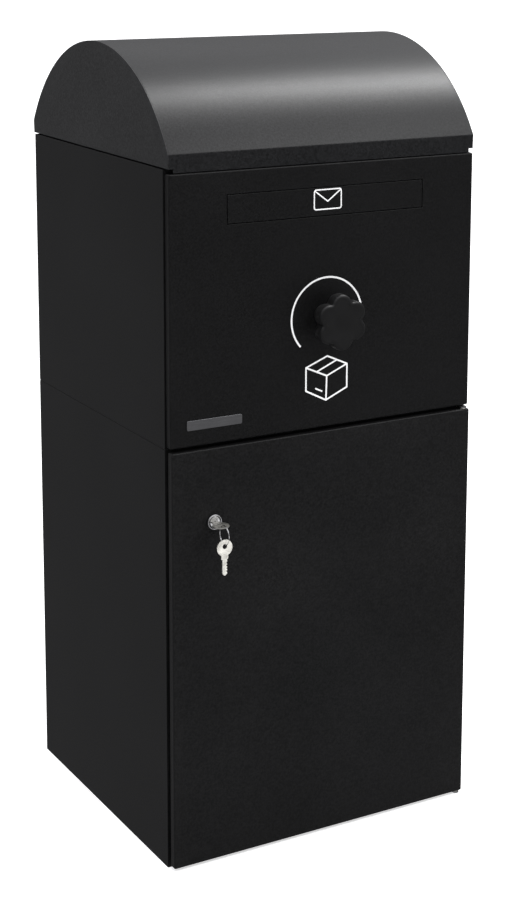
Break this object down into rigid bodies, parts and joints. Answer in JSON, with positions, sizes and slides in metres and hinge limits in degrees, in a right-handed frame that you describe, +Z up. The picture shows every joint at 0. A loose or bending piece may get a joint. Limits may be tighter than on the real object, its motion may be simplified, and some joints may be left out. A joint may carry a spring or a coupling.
{
  "type": "parcel drop box",
  "caption": "Free-standing sheet-steel parcel box: hinged barrel-vault hood, letter flap, knob-turned drop drum and a key-locked lower door.",
  "frame": {"origin": "centre of the body's footprint on the floor", "axes": "+Z up, +X to the right seen from the front, the front faces -Y"},
  "size_m": [0.5, 0.5334, 1.168],
  "materials": {
    "body_black": "satin fine-texture powder coat",
    "front_black": "satin fine-texture powder coat",
    "door_black": "satin fine-texture powder coat",
    "hood_black": "satin fine-texture powder coat",
    "floor_rubber": "ribbed matte",
    "seal_rubber": "matte foam rubber",
    "zinc_steel": "zinc-plated sheet",
    "drum_steel": "galvanised sheet",
    "bright_steel": "bright zinc",
    "bush_nylon": "natural nylon",
    "knob_black": "matte moulded plastic",
    "lock_chrome": "polished",
    "ring_steel": "bright wire",
    "key_nickel": "satin nickel"
  },
  "bodies": {
    "cabinet": {"base_plate": "body_black", "floor_mat": "floor_rubber", "lower_side_left": "body_black", "lower_side_right": "body_black", "lower_back": "body_black", "lower_header": "body_black", "door_seal": "seal_rubber", "door_pivots": "bright_steel", "lock_strike": "zinc_steel", "upper_side_left": "body_black", "upper_side_right": "body_black", "upper_back": "body_black", "upper_inner_wall": "body_black", "module_bolts": "bright_steel", "front_panel": "front_black", "panel_standoffs": "zinc_steel", "panel_bush": "bush_nylon", "flap_pin": "bright_steel", "flap_brackets": "zinc_steel", "letter_chute": "zinc_steel", "letter_deflector": "zinc_steel", "shaft_sleeve": "zinc_steel", "front_bearing": "bush_nylon", "rear_bearing": "zinc_steel", "drum_stops": "seal_rubber", "hopper_baffle_left": "zinc_steel", "hopper_baffle_right": "zinc_steel", "top_neck": "body_black", "rim_seal": "seal_rubber", "hinge_brackets": "body_black", "hinge_pins": "bright_steel", "hinge_rivets": "bright_steel"},
    "hood": {"hood_shell": "hood_black", "hood_cap_left": "hood_black", "hood_cap_right": "hood_black", "hood_frame": "hood_black", "hood_hinge_leaves": "body_black"},
    "letter_flap": {"letter_flap": "front_black"},
    "drum": {"knob": "knob_black", "knob_shaft": "bright_steel", "rear_shaft": "bright_steel", "drum_hubs": "bright_steel", "hub_rivets": "bright_steel", "drum_end_front": "drum_steel", "drum_end_rear": "drum_steel", "drum_trough": "drum_steel"},
    "door": {"door_pan": "door_black", "door_stiffener": "zinc_steel", "door_bushes": "bush_nylon", "lock_housing": "lock_chrome", "lock_nut": "bright_steel"},
    "lock": {"lock_plug": "lock_chrome", "lock_cam": "bright_steel", "cam_screw": "bright_steel", "key": "key_nickel"},
    "ring": {"key_ring": "ring_steel"},
    "spare": {"spare_key": "key_nickel"}
  },
  "joints": [
    {"name": "hood_lift", "type": "hinge", "parent": "cabinet", "child": "hood", "pos_m": [0, 0.2385, 1.008], "axis": [-1, 0, 0], "range_deg": [0, 80]},
    {"name": "flap_swing", "type": "hinge", "parent": "cabinet", "child": "letter_flap", "pos_m": [0, -0.235, 0.968], "axis": [1, 0, 0], "range_deg": [0, 75]},
    {"name": "drum_turn", "type": "hinge", "parent": "cabinet", "child": "drum", "pos_m": [0, 0, 0.784], "axis": [0, 1, 0], "range_deg": [0, 180]},
    {"name": "door_swing", "type": "hinge", "parent": "cabinet", "child": "door", "pos_m": [0.24, -0.237, 0.3], "axis": [0, 0, 1], "range_deg": [0, 110]},
    {"name": "key_turn", "type": "hinge", "parent": "door", "child": "lock", "pos_m": [-0.184, -0.243, 0.512], "axis": [0, 1, 0], "range_deg": [0, 90]},
    {"name": "ring_rock", "type": "hinge", "parent": "lock", "child": "ring", "pos_m": [-0.184, -0.2754, 0.51525], "axis": [0, 1, 0], "range_deg": [-20, 20]},
    {"name": "spare_swing", "type": "hinge", "parent": "ring", "child": "spare", "pos_m": [-0.184, -0.2754, 0.48775], "axis": [0, 1, 0], "range_deg": [-30, 30]}
  ]
}
